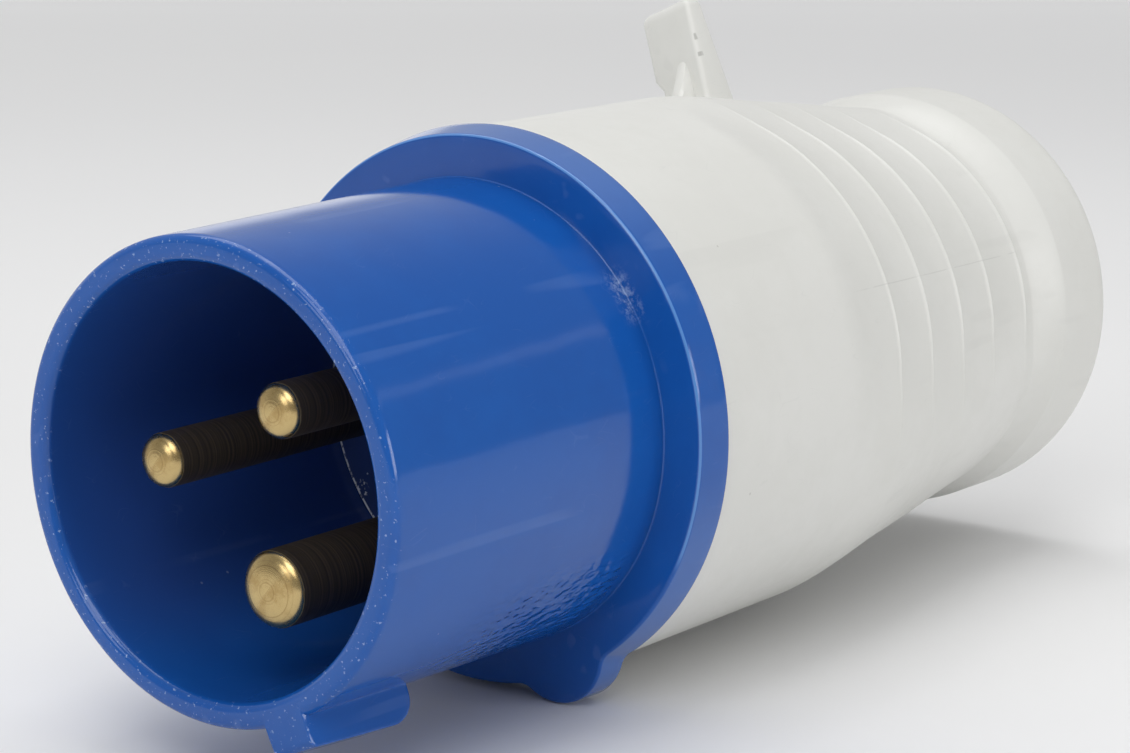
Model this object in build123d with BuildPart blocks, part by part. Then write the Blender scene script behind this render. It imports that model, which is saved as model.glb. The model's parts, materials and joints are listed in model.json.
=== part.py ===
"""Industrial pin and sleeve plug with three pins, in millimetres.

+X runs along the plug, from the rim of its shroud (x = 0) to its cable end, and +Z is up.
The plug lies on its flange and on the nose of the flange, so everything that is keyed to
the nose is turned about X by rest_roll.
"""
from build123d import *
from math import acos, cos, degrees, radians, sin
import os

os.makedirs("parts", exist_ok=True)

# ---- Driving dimensions ----
shroud_radius = 21.8           # outside of the sleeve at its rim
shroud_wall = 2.4
shroud_base_radius = 22.4      # outside where the foot starts
flange_front = 36.9            # x of the flange's front face
flange_thickness = 3.7
flange_front_radius = 26.5
flange_back_radius = 27.2
nose_radius = 5.7              # at the flange's back face
nose_draft = 2.0               # degrees, so that the nose is smaller in front
nose_distance = 23.58          # plug axis to the centre of the nose
key_width = 4.8
key_length = 13.8
cup_depth = 38.0
handle_radius = 26.7
handle_end = 121.5             # x of the cable end

flange_back = flange_front + flange_thickness
rest_roll = degrees(acos((flange_back_radius - nose_radius) / nose_distance))

# Local directions: "up" points away from the nose, "side" is square to it.
side = Vector(0, cos(radians(rest_roll)), -sin(radians(rest_roll)))
up = Vector(0, sin(radians(rest_roll)), cos(radians(rest_roll)))


def point(x, place=(0, 0)):
    """A point at x, placed (side, up) from the plug's axis."""
    return Vector(x, 0, 0) + side * place[0] + up * place[1]


def station(x, place=(0, 0)):
    """Cross-section at x: sketch x is side, sketch y is up, and it extrudes towards +X."""
    return Plane(origin=point(x, place), x_dir=side, z_dir=(1, 0, 0))


def section(place=(0, 0)):
    """Lengthwise section: sketch x is the plug's x, sketch y is up from the given place."""
    return Plane(origin=point(0, place), x_dir=(1, 0, 0), z_dir=-side)


def axis_at(place):
    return Axis(point(0, place), (1, 0, 0))


def write(part, name):
    part.label = name
    export_step(part, f"parts/{name}.step")


# ---- Pins and their terminals ----
line_place = (7.7, 3.75)
neutral_place = (-7.7, 3.75)
earth_place = (0, -10.45)
pole_radius = 2.5
earth_radius = 3.5
pole_tip = 2.9                 # x of the tips, just inside the rim
earth_tip = 3.1
pole_barrel = 4.2              # radius of the terminal barrel behind each pin
earth_barrel = 4.6
root_step = 0.3                # how much thicker a pin is where it sits in the carrier
pin_sizes = [
    (line_place, pole_radius, pole_barrel),
    (neutral_place, pole_radius, pole_barrel),
    (earth_place, earth_radius, earth_barrel),
]
barrel_front = 45.3
barrel_end = 59.5
wire_radius = 2.4
wire_depth = 11.5
ring_front = 41.0              # sealing ring in a groove of the carrier's front wall
ring_width = 1.6
ring_height = 1.0
screw_station = 54.0
screw_radius = 2.0
screw_head = 3.2
screw_head_height = 2.4
screw_gap = 1.2                # air between the screw's head and the barrel
plate_top = 1.6                # height of the pressure plate's face over the wire hole's axis
plate_thickness = 0.7
plate_length = 8.0
plate_width = 3.2

# ---- Front shell ----
ledge = 41.5                   # face that the carrier's gasket seats on
bore_at_ledge = 19.05
skirt_bore = 21.5
skirt_radius = 24.4
skirt_end = 52.0
seal_front = 42.4
seal_back = 44.2
seal_radius = 23.5
bead_station = 48.0
bead_height = 0.45
foot_start = 33.4
foot_radius = 23.1
nose_blend = 2.2
rim_round = 0.8
mouth_round = 0.9
mouth_radius = shroud_radius - shroud_wall

# ---- Contact carrier and its cover ----
carrier_seat = 42.3
carrier_boss = 18.95
carrier_flange = 21.3
carrier_flange_back = 45.3
carrier_back = 61.0
tube_wall = 1.7
rib_width = 3.0
rib_height = 0.8
floor_boss_place = (11.5, -3.0)
floor_boss_radius = 2.0
floor_boss_height = 1.0
lock_ring_bore = 19.4
lock_ring_thickness = 1.8
cover_thickness = 2.0
cover_boss = 3.5
cover_screw_place = (0, -1.2)
cover_screw_radius = 1.45
cover_screw_length = 12.0
cover_screw_head = 2.8
cover_screw_head_height = 1.7

# ---- Handle ----
handle_socket = 24.5           # bore that takes the skirt
body_end = 71.0
waist = 106.7
waist_radius = 22.1
collar_front = 111.0
collar_radius = 23.2
collar_round = 3.0
end_wall = 3.0
cable_opening = 10.5
grip_front = 66.0
grip_starts = (137, -20)       # angle about the axis where each side's grip begins
grip_arc = 63
grip_run_out = 9.0
rib_pitch = 8.0
first_crest = 72.7
crest_radii = (25.65, 24.45, 23.35, 22.3, 21.65)
valley_offset = 3.5
valley_depth = 0.4
lug_back = 91.4
lug_front = 86.2
lug_base = 23.6
lug_top = 36.9
lug_width = 6.7
web_side = -0.8
web_thickness = 1.8
web_front = 83.2

# ---- Cord clamp and bush ----
cord_radius = 6.0
clamp_seat = 19.0
clamp_front = 92.0
clamp_back = 106.5
clamp_ring_wall = 2.2
saddle_front = 95.0
saddle_width = 9.0
saddle_wall = 2.2
saddle_top = -1.5              # face of the base that the bridge closes on
bridge_gap = 3.0
ear_height = 3.0
clamp_screw_side = 11.5
clamp_screw_length = 16.5
clamp_screw_head = 3.4
clamp_boss_width = 9.4
nut_size = 7.0
nut_thickness = 3.2
nut_top = -6.0
washer_thickness = 2.0
bush_bore = 6.2
bridge_bottom = saddle_top + bridge_gap


def sleeve_length(barrel):
    """From a barrel's axis to the end of the sleeve round its screw."""
    return barrel + screw_gap + screw_head_height + 0.4


def screw_plane(place, height=0.0):
    """Plane square to a terminal screw, at a height over the axis of its barrel."""
    outward = (side * place[0] + up * place[1]).normalized()
    return Plane(origin=point(screw_station, place) + outward * height, x_dir=(1, 0, 0), z_dir=outward)


def clamp_plane(height, offset):
    """Plane square to a clamp screw, at a height over the plug's axis."""
    x = saddle_front + saddle_width / 2
    return Plane(origin=point(x, (offset, height)), x_dir=(1, 0, 0), z_dir=up)


def grip_section(angle):
    """Lengthwise section at an angle about the axis, counted from side towards up."""
    radial = side * cos(radians(angle)) + up * sin(radians(angle))
    return Plane(origin=(0, 0, 0), x_dir=(1, 0, 0), z_dir=Vector(1, 0, 0).cross(radial))


def grip_outline():
    """Recess of the grip: a sloping front, five crests with creased hollows, a wall at the collar."""
    crests = [(first_crest + i * rib_pitch, r) for i, r in enumerate(crest_radii)]
    points = [(grip_front, handle_radius + 1), (grip_front, handle_radius), (grip_front + 3.3, 25.3)]
    for (x, r), (_, following) in zip(crests, crests[1:]):
        valley = r + (following - r) * valley_offset / rib_pitch - valley_depth
        points += [(x, r), (x + valley_offset, valley)]
    points += [crests[-1], (waist - 0.1, crest_radii[-1] - 0.3)]
    return points + [(waist + 0.3, waist_radius + 0.2), (waist + 0.3, handle_radius + 1)]


with BuildPart() as front_shell:
    with BuildSketch(section()):
        with BuildLine():
            RadiusArc((0, shroud_radius - rim_round), (rim_round, shroud_radius), rim_round)
            Polyline(
                (rim_round, shroud_radius),
                (foot_start, shroud_base_radius),
                (flange_front, foot_radius),
                (flange_front, flange_front_radius),
                (flange_back, flange_back_radius),
                (flange_back, skirt_radius),
                (seal_front, skirt_radius),
                (seal_front, seal_radius),
                (seal_back, seal_radius),
                (seal_back, skirt_radius),
                (bead_station - 1, skirt_radius),
                (bead_station - 0.4, skirt_radius + bead_height),
                (bead_station + 0.4, skirt_radius + bead_height),
                (bead_station + 1, skirt_radius),
                (skirt_end, skirt_radius),
                (skirt_end, 0),
                (0, 0),
                (0, shroud_radius - rim_round),
            )
        make_face()
    revolve(axis=Axis.X)

    # nose: a lobe of the flange that the socket's lid hooks over
    with BuildSketch(station(flange_back)):
        with Locations((0, -nose_distance)):
            Circle(nose_radius)
    extrude(amount=-flange_thickness, taper=nose_draft)
    nose_joint = front_shell.edges().filter_by(
        lambda e: 3 < e.length < 5 and e.center().dot(up) < -25 and flange_front < e.center().X < flange_back
    )
    fillet(nose_joint, nose_blend)
    flange_outline = front_shell.edges().filter_by(
        lambda e: (e @ 0.5 - point((e @ 0.5).X)).length > foot_radius + 1.5
    )
    fillet(flange_outline.filter_by_position(Axis.X, flange_front - 0.01, flange_front + 0.01), 0.55)

    # key: a rib along the shroud, flush with the rim, a little deeper at its back end
    with BuildSketch(section()):
        with BuildLine():
            Polyline((key_length, -22.4), (key_length, -20.7), (0, -20.7), (0, -24.4), (10.6, -25.1))
            ThreePointArc((10.6, -25.1), (12.95, -24.3), (key_length, -22.4))
        make_face()
    extrude(amount=key_width / 2, both=True)
    key_edges = front_shell.edges().filter_by(
        lambda e: e.center().dot(up) < -23.5 and abs(e.center().dot(side)) > key_width / 2 - 0.1
    )
    fillet(key_edges.filter_by(lambda e: e.center().X < key_length + 0.1), 0.7)

    # cup that the pins stand in, the ledge behind it and the bore of the skirt
    with BuildSketch(section()):
        with BuildLine():
            RadiusArc((0, mouth_radius + mouth_round), (mouth_round, mouth_radius), -mouth_round)
            Polyline(
                (mouth_round, mouth_radius),
                (ledge, bore_at_ledge),
                (ledge, skirt_bore),
                (skirt_end + 1, skirt_bore),
                (skirt_end + 1, 0),
                (-1, 0),
                (-1, mouth_radius + mouth_round),
                (0, mouth_radius + mouth_round),
            )
        make_face()
    revolve(axis=Axis.X, mode=Mode.SUBTRACT)

    # rib in the skirt that lets the carrier in one way round
    with BuildSketch(station(ledge)):
        with Locations((0, -skirt_bore + rib_height / 2)):
            Rectangle(rib_width, rib_height + 0.6)
    extrude(amount=carrier_flange_back - ledge)
write(front_shell.part, "front_shell")

# ---- Contact carrier: boss in the cup, flange on the gasket, a tube for each terminal ----
with BuildPart() as contact_carrier:
    with BuildSketch(station(cup_depth)):
        Circle(carrier_boss)
    extrude(amount=carrier_flange_back - cup_depth)
    chamfer(contact_carrier.edges().filter_by_position(Axis.X, cup_depth - 0.01, cup_depth + 0.01), 0.35)
    with BuildSketch(station(carrier_seat)):
        Circle(carrier_flange)
    extrude(amount=carrier_flange_back - carrier_seat)
    with BuildSketch(station(carrier_flange_back)):
        with Locations(line_place, neutral_place):
            Circle(pole_barrel + tube_wall)
        with Locations(earth_place):
            Circle(earth_barrel + tube_wall)
        with Locations(cover_screw_place):
            Circle(cover_boss)
    extrude(amount=carrier_back - carrier_flange_back)
    # sleeves that lead a screwdriver to the terminal screws
    for place, _, barrel in pin_sizes:
        with BuildSketch(screw_plane(place)):
            Circle(screw_head + 1.0)
        extrude(amount=sleeve_length(barrel))
    for place, radius, barrel in pin_sizes:
        with BuildSketch(station(cup_depth, place)):
            Circle(radius + root_step)
        extrude(amount=barrel_front - cup_depth, mode=Mode.SUBTRACT)
        with BuildSketch(station(ring_front, place)):
            Circle(radius + root_step + ring_height)
        extrude(amount=ring_width, mode=Mode.SUBTRACT)
        with BuildSketch(station(barrel_front, place)):
            Circle(barrel)
        extrude(amount=carrier_back - barrel_front, mode=Mode.SUBTRACT)
        with BuildSketch(screw_plane(place)):
            Circle(screw_head + 0.2)
        extrude(amount=sleeve_length(barrel) + 1, mode=Mode.SUBTRACT)
    # hole for the cover's screw
    with BuildSketch(station(carrier_back, cover_screw_place)):
        Circle(cover_screw_radius)
    extrude(amount=-cover_screw_length, mode=Mode.SUBTRACT)
    # notch that passes the rib in the skirt
    with BuildSketch(station(carrier_seat - 0.1)):
        with Locations((0, -carrier_flange)):
            Rectangle(rib_width + 0.3, 2 * (carrier_flange - skirt_bore + rib_height + 0.3))
    extrude(amount=carrier_flange_back - carrier_seat + 0.2, mode=Mode.SUBTRACT)
    # two low round bosses on the floor of the cup, beside the pole pins
    with BuildSketch(station(cup_depth)):
        with Locations(floor_boss_place, (-floor_boss_place[0], floor_boss_place[1])):
            Circle(floor_boss_radius)
    extrude(amount=-floor_boss_height)
write(contact_carrier.part, "contact_carrier")

# ---- Gasket between the carrier's flange and the shell's ledge ----
with BuildPart() as carrier_gasket:
    with BuildSketch(station(ledge)):
        Circle(skirt_bore - rib_height - 0.3)
        Circle(carrier_boss, mode=Mode.SUBTRACT)
    extrude(amount=carrier_seat - ledge)
write(carrier_gasket.part, "carrier_gasket")

# ---- Ring that locks the carrier in the skirt, with two notches for a spanner ----
with BuildPart() as carrier_lock_ring:
    with BuildSketch(station(carrier_flange_back)):
        Circle(skirt_bore)
        Circle(lock_ring_bore, mode=Mode.SUBTRACT)
        with PolarLocations(lock_ring_bore, 2):
            Rectangle(2.4, 3.0, mode=Mode.SUBTRACT)
    extrude(amount=lock_ring_thickness)
write(carrier_lock_ring.part, "carrier_lock_ring")

# ---- Cover that closes the terminal tubes and keeps the pins from sliding back ----
with BuildPart() as carrier_cover:
    with BuildSketch(station(carrier_back)):
        with Locations(line_place, neutral_place):
            Circle(pole_barrel + tube_wall)
        with Locations(earth_place):
            Circle(earth_barrel + tube_wall)
        make_hull()
    extrude(amount=cover_thickness)
    fillet(carrier_cover.faces().sort_by(Axis.X)[-1].outer_wire().edges(), 0.5)
    for place, _, barrel in pin_sizes:
        with BuildSketch(station(barrel_end, place)):
            Circle(barrel - 0.15)
        extrude(amount=carrier_back - barrel_end)
    for place, _, _ in pin_sizes:
        with BuildSketch(station(barrel_end, place)):
            Circle(wire_radius + 0.2)
        extrude(amount=carrier_back + cover_thickness - barrel_end, mode=Mode.SUBTRACT)
        with BuildSketch(station(carrier_back + cover_thickness, place)):
            Circle(wire_radius + 1.4)
        extrude(amount=-1.2, taper=45, mode=Mode.SUBTRACT)
    with BuildSketch(station(carrier_back, cover_screw_place)):
        Circle(cover_screw_radius)
    extrude(amount=cover_thickness, mode=Mode.SUBTRACT)
write(carrier_cover.part, "carrier_cover")

with BuildPart() as cover_screw:
    with BuildSketch(station(carrier_back + cover_thickness, cover_screw_place)):
        Circle(cover_screw_head)
    extrude(amount=cover_screw_head_height)
    fillet(cover_screw.edges().sort_by(Axis.X)[-1], 0.5)
    with BuildSketch(station(carrier_back + cover_thickness, cover_screw_place)):
        Circle(cover_screw_radius)
    extrude(amount=-(cover_thickness + cover_screw_length - 1))
    with BuildSketch(station(carrier_back + cover_thickness + cover_screw_head_height, cover_screw_place)):
        Rectangle(2 * cover_screw_head, 0.7)
    extrude(amount=-0.9, mode=Mode.SUBTRACT)
write(cover_screw.part, "cover_screw")


# ---- Pins: a turned pin with a domed tip, a collar and a terminal barrel ----
def contact_pin(place, tip, radius, barrel):
    with BuildPart() as pin:
        with BuildSketch(section(place)):
            with BuildLine():
                ThreePointArc((tip, 0), (tip + 0.12, 0.45 * radius), (tip + 0.5, 0.84 * radius))
                Spline(
                    (tip + 0.5, 0.84 * radius),
                    (tip + 1.3, radius),
                    tangents=((0.45, 0.55), (1, 0)),
                )
                Polyline(
                    (tip + 1.3, radius),
                    (cup_depth, radius),
                    (cup_depth, radius + root_step),
                    (barrel_front, radius + root_step),
                    (barrel_front, barrel),
                    (barrel_end, barrel),
                    (barrel_end, 0),
                    (tip, 0),
                )
            make_face()
        revolve(axis=axis_at(place))
        with BuildSketch(station(barrel_end, place)):
            Circle(wire_radius)
        extrude(amount=-wire_depth, mode=Mode.SUBTRACT)
        with BuildSketch(screw_plane(place)):
            Circle(screw_radius)
        extrude(amount=barrel + 1, mode=Mode.SUBTRACT)
    return pin.part


write(contact_pin(line_place, pole_tip, pole_radius, pole_barrel), "pin_line")
write(contact_pin(neutral_place, pole_tip, pole_radius, pole_barrel), "pin_neutral")
write(contact_pin(earth_place, earth_tip, earth_radius, earth_barrel), "pin_earth")


# ---- Rings that seal the pins in the carrier's front wall ----
def pin_rings(sizes):
    with BuildPart() as rings:
        for place, radius, _ in sizes:
            with BuildSketch(station(ring_front, place)):
                Circle(radius + root_step + ring_height)
                Circle(radius + root_step, mode=Mode.SUBTRACT)
            extrude(amount=ring_width)
    return rings.part


write(pin_rings(pin_sizes[:2]), "pole_pin_rings")
write(pin_rings(pin_sizes[2:]), "earth_pin_ring")


# ---- Terminal screws with a slot and a cross recess, and the plates they press on the wires ----
def terminal_screws(sizes):
    with BuildPart() as screws:
        for place, _, barrel in sizes:
            with BuildSketch(screw_plane(place, plate_top)):
                Circle(screw_radius)
            extrude(amount=barrel + screw_gap - plate_top)
            with BuildSketch(screw_plane(place, barrel + screw_gap)):
                Circle(screw_head)
            extrude(amount=screw_head_height)
            with BuildSketch(screw_plane(place, barrel + screw_gap + screw_head_height)):
                Rectangle(2 * screw_head, 0.9)
                Rectangle(0.9, 3.6)
            extrude(amount=-1.2, mode=Mode.SUBTRACT)
    return screws.part


def pressure_plates(sizes):
    with BuildPart() as plates:
        for place, _, barrel in sizes:
            with BuildSketch(screw_plane(place, plate_top)):
                RectangleRounded(plate_length, plate_width, 0.6)
            extrude(amount=-plate_thickness)
    return plates.part


write(terminal_screws(pin_sizes[:2]), "pole_terminal_screws")
write(terminal_screws(pin_sizes[2:]), "earth_terminal_screw")
write(pressure_plates(pin_sizes[:2]), "pole_pressure_plates")
write(pressure_plates(pin_sizes[2:]), "earth_pressure_plate")

# ---- Seal between the skirt and the handle ----
with BuildPart() as housing_seal:
    with BuildSketch(station(seal_front)):
        Circle(handle_socket)
        Circle(seal_radius, mode=Mode.SUBTRACT)
    extrude(amount=seal_back - seal_front)
write(housing_seal.part, "housing_seal")

# ---- Handle: bulged body with side grips, waist, collar at the cable end, lug on top ----
with BuildPart() as handle:
    with BuildSketch(section()):
        with BuildLine():
            Polyline(
                (flange_back, 0),
                (flange_back, handle_radius - 0.4),
                (flange_back + 0.4, handle_radius),
                (body_end, handle_radius),
            )
            Spline(
                (body_end, handle_radius),
                (76, 26.25),
                (84, 25.1),
                (91.8, 24.12),
                (100, 22.98),
                (waist, waist_radius),
                tangents=((1, 0), (1, -0.09)),
            )
            Polyline(
                (waist, waist_radius),
                (collar_front, collar_radius),
                (handle_end - collar_round, collar_radius + 0.1),
            )
            RadiusArc(
                (handle_end - collar_round, collar_radius + 0.1),
                (handle_end, collar_radius + 0.1 - collar_round),
                collar_round,
            )
            Polyline((handle_end, collar_radius + 0.1 - collar_round), (handle_end, 0), (flange_back, 0))
        make_face()
    revolve(axis=Axis.X)

    # side grips: shallow ribbed recesses that run out along tangents above and below
    for first in grip_starts:
        for angle, run_out in ((first, -grip_run_out), (first + grip_arc, grip_run_out)):
            with BuildSketch(grip_section(angle)):
                with BuildLine():
                    Polyline(*grip_outline(), close=True)
                make_face()
            extrude(amount=run_out, mode=Mode.SUBTRACT)
        with BuildSketch(grip_section(first)):
            with BuildLine():
                Polyline(*grip_outline(), close=True)
            make_face()
        revolve(axis=Axis.X, revolution_arc=grip_arc, mode=Mode.SUBTRACT)

    # lug that keeps the socket's lid over the plug, with a web in front of it
    with BuildSketch(section()):
        with BuildLine():
            Polyline(
                (lug_back, lug_base), (lug_back, lug_top), (lug_back - 2.4, lug_top), (lug_front, lug_base),
                close=True,
            )
        face = make_face()
        fillet(face.vertices().sort_by(Axis.Y)[-2:], 1.1)
    extrude(amount=lug_width / 2, both=True)
    with BuildSketch(section((web_side, 0))):
        with BuildLine():
            Polyline(
                (lug_front + 2, lug_base), (lug_front + 2, 30.4), (web_front, 25.4), (web_front, lug_base),
                close=True,
            )
        make_face()
    extrude(amount=web_thickness / 2, both=True)

    # socket for the skirt, tapered hollow, seat of the cord clamp and the bush
    with BuildSketch(section()):
        with BuildLine():
            Polyline(
                (flange_back - 1, 0),
                (flange_back - 1, handle_socket),
                (bead_station - 1.1, handle_socket),
                (bead_station - 0.5, handle_socket + bead_height + 0.1),
                (bead_station + 0.5, handle_socket + bead_height + 0.1),
                (bead_station + 1.1, handle_socket),
                (skirt_end + 1, handle_socket),
                (skirt_end + 1, 23.6),
                (70, 23.0),
                (clamp_front - 3, 20.9),
                (clamp_front - 3, clamp_seat - 0.3),
                (clamp_front, clamp_seat - 0.3),
                (clamp_front, clamp_seat),
                (handle_end - end_wall, clamp_seat),
                (handle_end - end_wall, cable_opening),
                (handle_end + 1, cable_opening),
                (handle_end + 1, 0),
                close=True,
            )
        make_face()
    revolve(axis=Axis.X, mode=Mode.SUBTRACT)
write(handle.part, "handle")

# ---- Cord clamp: a ring with a saddle, a bridge over it, two screws in captive square nuts ----
with BuildPart() as clamp_base:
    with BuildSketch(station(clamp_front)):
        Circle(clamp_seat - 0.05)
        Circle(clamp_seat - clamp_ring_wall, mode=Mode.SUBTRACT)
    extrude(amount=clamp_back - clamp_front)
    # saddle on a rib, between two bosses, all of it below the face that the bridge closes on
    with BuildSketch(station(saddle_front)):
        with Locations((0, saddle_top - ear_height / 2)):
            Rectangle(2 * clamp_screw_side, ear_height)
        Circle(cord_radius + saddle_wall)
        with Locations((0, -clamp_seat / 2)):
            Rectangle(2.4, clamp_seat)
        with Locations((-clamp_screw_side, -clamp_seat / 2), (clamp_screw_side, -clamp_seat / 2)):
            Rectangle(clamp_boss_width, clamp_seat)
        Circle(cord_radius, mode=Mode.SUBTRACT)
        with Locations((0, saddle_top + clamp_seat)):
            Rectangle(3 * clamp_seat, 2 * clamp_seat, mode=Mode.SUBTRACT)
        Circle(clamp_seat - clamp_ring_wall / 2, mode=Mode.INTERSECT)
    extrude(amount=saddle_width)
    # pockets for the nuts, open towards the carrier, and holes for the screws
    with BuildSketch(station(saddle_front)):
        with Locations(
            (-clamp_screw_side, nut_top - nut_thickness / 2), (clamp_screw_side, nut_top - nut_thickness / 2)
        ):
            Rectangle(nut_size + 0.1, nut_thickness)
    extrude(amount=(saddle_width + nut_size) / 2, mode=Mode.SUBTRACT)
    for offset in (-clamp_screw_side, clamp_screw_side):
        with BuildSketch(clamp_plane(saddle_top, offset)):
            Circle(screw_radius)
        extrude(amount=-(clamp_screw_length - bridge_gap - ear_height), mode=Mode.SUBTRACT)
write(clamp_base.part, "clamp_base")

with BuildPart() as clamp_bridge:
    with BuildSketch(station(saddle_front + 0.5)):
        with Locations((0, bridge_bottom + ear_height / 2)):
            Rectangle(2 * clamp_screw_side + clamp_boss_width, ear_height)
        Circle(cord_radius + saddle_wall)
        Circle(cord_radius, mode=Mode.SUBTRACT)
        with Locations((0, bridge_bottom - clamp_seat)):
            Rectangle(3 * clamp_seat, 2 * clamp_seat, mode=Mode.SUBTRACT)
        Circle(clamp_seat - clamp_ring_wall - 0.3, mode=Mode.INTERSECT)
    extrude(amount=saddle_width - 1)
    for offset in (-clamp_screw_side, clamp_screw_side):
        with BuildSketch(clamp_plane(bridge_bottom, offset)):
            Circle(screw_radius)
        extrude(amount=ear_height, mode=Mode.SUBTRACT)
write(clamp_bridge.part, "clamp_bridge")

with BuildPart() as clamp_screws:
    for offset in (-clamp_screw_side, clamp_screw_side):
        seat = bridge_bottom + ear_height
        with BuildSketch(clamp_plane(seat, offset)):
            Circle(screw_radius)
        extrude(amount=-clamp_screw_length)
        with BuildSketch(clamp_plane(seat, offset)):
            Circle(clamp_screw_head)
        extrude(amount=screw_head_height)
        with BuildSketch(clamp_plane(seat + screw_head_height, offset)):
            Rectangle(0.9, 2 * clamp_screw_head)
        extrude(amount=-1.2, mode=Mode.SUBTRACT)
write(clamp_screws.part, "clamp_screws")

with BuildPart() as clamp_nuts:
    for offset in (-clamp_screw_side, clamp_screw_side):
        with BuildSketch(clamp_plane(nut_top, offset)):
            Rectangle(nut_size, nut_size)
            Circle(screw_radius, mode=Mode.SUBTRACT)
        extrude(amount=-nut_thickness)
write(clamp_nuts.part, "clamp_nuts")

# ---- Washer and rubber bush behind the clamp ----
bush_front = clamp_back + washer_thickness
bush_seat = handle_end - end_wall

with BuildPart() as bush_washer:
    with BuildSketch(station(clamp_back)):
        Circle(clamp_seat - 0.1)
        Circle(bush_bore + 2, mode=Mode.SUBTRACT)
    extrude(amount=washer_thickness)
write(bush_washer.part, "bush_washer")

with BuildPart() as cable_bush:
    with BuildSketch(section()):
        with BuildLine():
            Polyline(
                (bush_front, bush_bore + 1.5),
                (bush_front, clamp_seat - 0.1),
                (bush_seat, clamp_seat - 0.1),
                (bush_seat, cable_opening - 0.1),
                (handle_end - 0.6, cable_opening - 0.1),
                (handle_end - 0.1, cable_opening - 0.6),
                (handle_end - 0.1, cable_opening - 2.0),
                (handle_end - 2.2, bush_bore + 0.6),
                (handle_end - 2.8, bush_bore),
                (bush_front + 3, bush_bore),
                close=True,
            )
        make_face()
    revolve(axis=Axis.X)
write(cable_bush.part, "cable_bush")
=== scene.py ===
"""Looks of an industrial pin and sleeve plug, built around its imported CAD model.

Lengths are written in millimetres and turned into metres where a mesh is made. A place on
the plug is (x, angle, radius): x along the axis from the shroud's rim, and the angle about
the axis, counted in degrees from the side direction towards the lid lug.
"""

import json
from math import acos, atan2, ceil, cos, pi, radians, sin, sqrt

import bmesh
import bpy
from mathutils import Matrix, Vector


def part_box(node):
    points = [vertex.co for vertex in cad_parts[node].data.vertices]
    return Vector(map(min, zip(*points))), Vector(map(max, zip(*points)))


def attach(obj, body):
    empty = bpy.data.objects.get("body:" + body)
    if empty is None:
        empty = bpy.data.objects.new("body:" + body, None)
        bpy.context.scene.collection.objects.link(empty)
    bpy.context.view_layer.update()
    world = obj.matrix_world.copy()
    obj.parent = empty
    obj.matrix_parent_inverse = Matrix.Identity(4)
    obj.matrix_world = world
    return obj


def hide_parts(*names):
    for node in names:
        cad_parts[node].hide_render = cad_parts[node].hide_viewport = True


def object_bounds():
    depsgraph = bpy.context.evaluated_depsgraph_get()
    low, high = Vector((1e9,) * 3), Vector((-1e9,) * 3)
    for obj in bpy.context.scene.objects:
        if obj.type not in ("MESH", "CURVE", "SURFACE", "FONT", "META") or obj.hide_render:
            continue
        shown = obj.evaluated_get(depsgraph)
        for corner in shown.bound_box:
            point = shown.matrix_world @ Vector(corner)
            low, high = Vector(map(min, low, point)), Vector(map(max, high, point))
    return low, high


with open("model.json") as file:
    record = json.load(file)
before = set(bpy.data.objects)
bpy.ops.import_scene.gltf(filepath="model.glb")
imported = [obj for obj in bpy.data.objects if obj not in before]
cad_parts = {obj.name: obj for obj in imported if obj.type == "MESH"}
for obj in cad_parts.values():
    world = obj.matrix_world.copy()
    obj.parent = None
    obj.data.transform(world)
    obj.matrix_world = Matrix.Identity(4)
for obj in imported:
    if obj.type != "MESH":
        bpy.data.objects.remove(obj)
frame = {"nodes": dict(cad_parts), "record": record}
cad_low, cad_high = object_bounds()
MM = 0.001

# ---- Frame of the plug ----
MOUNTS = {mount["name"]: mount for mount in frame["record"]["mounts"]}
EARTH_PLACE = Vector((0, *MOUNTS["pin_earth"]["pos_m"][1:])) / MM
UP = -EARTH_PLACE.normalized()             # from the nose towards the lug
SIDE = UP.cross(Vector((1, 0, 0)))         # square to it
FLOOR_HEIGHT = cad_low.z

# ---- Shroud, flange, nose and key ----
SHELL_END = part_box("front_shell")[1].x / MM
RIM_RADIUS = 21.8
RIM_ROUND = 0.8
WALL = 2.4
MOUTH_RADIUS = RIM_RADIUS - WALL
MOUTH_ROUND = 0.9
FOOT_RADIUS = 22.45                        # of the shroud where it meets the flange
FOOT_CORNER = 0.15
FLANGE_FRONT = 36.9
FLANGE_BACK = 40.6
FLANGE_FRONT_RADIUS = 26.5
FLANGE_BACK_RADIUS = 27.2
FLANGE_ROUND = 0.3
FOOT_SCUFF_AND_GLINTS_LEVEL = 4.6                     # height of the scuffed patch with its painted glints over the axis
NOSE_DISTANCE = 23.58
NOSE_FRONT_RADIUS = 5.57
NOSE_BACK_RADIUS = 5.7
NOSE_BLEND = 2.2
NOSE_ANGLE = -90.0
KEY_HALF_WIDTH = 2.4
KEY_FRONT_HEIGHT = 24.4
KEY_BACK_HEIGHT = 25.1
KEY_ROUND_START = 10.6
KEY_END = 13.8
KEY_END_HEIGHT = 22.4
CUP_FLOOR = 38.0
CARRIER_EDGE = 18.6                        # radius where the carrier's flat front ends in its bevel
CARRIER_GLINTS = (18.0, -2.8)               # side and up of the painted glints on the carrier
LEDGE = 41.5
LEDGE_BORE = 19.05
SKIRT_BORE = 21.5
SKIRT_RADIUS = 24.4
SEAL_GROOVE = (42.4, 44.2)                 # start and end
SEAL_GROOVE_RADIUS = 23.5
BEAD = 48.0                                # ridge that snaps into the handle
BEAD_RADIUS = 24.85

# ---- Pins ----
PIN_DOME = (                               # distance behind the tip, and share of the pin's radius
    (0, 0), (0.02, 0.12), (0.05, 0.26), (0.12, 0.45), (0.22, 0.6), (0.36, 0.74), (0.5, 0.83), (0.7, 0.91),
    (0.95, 0.965), (1.15, 0.99), (1.32, 1),
)
PIN_SHOULDER = 45.3
ROOT_STEP = 0.3
WIRE_HOLE = 2.4
WIRE_DEPTH = 11.5
TERMINAL_SCREW = 54.0
SCREW_HOLE = 2.0

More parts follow.
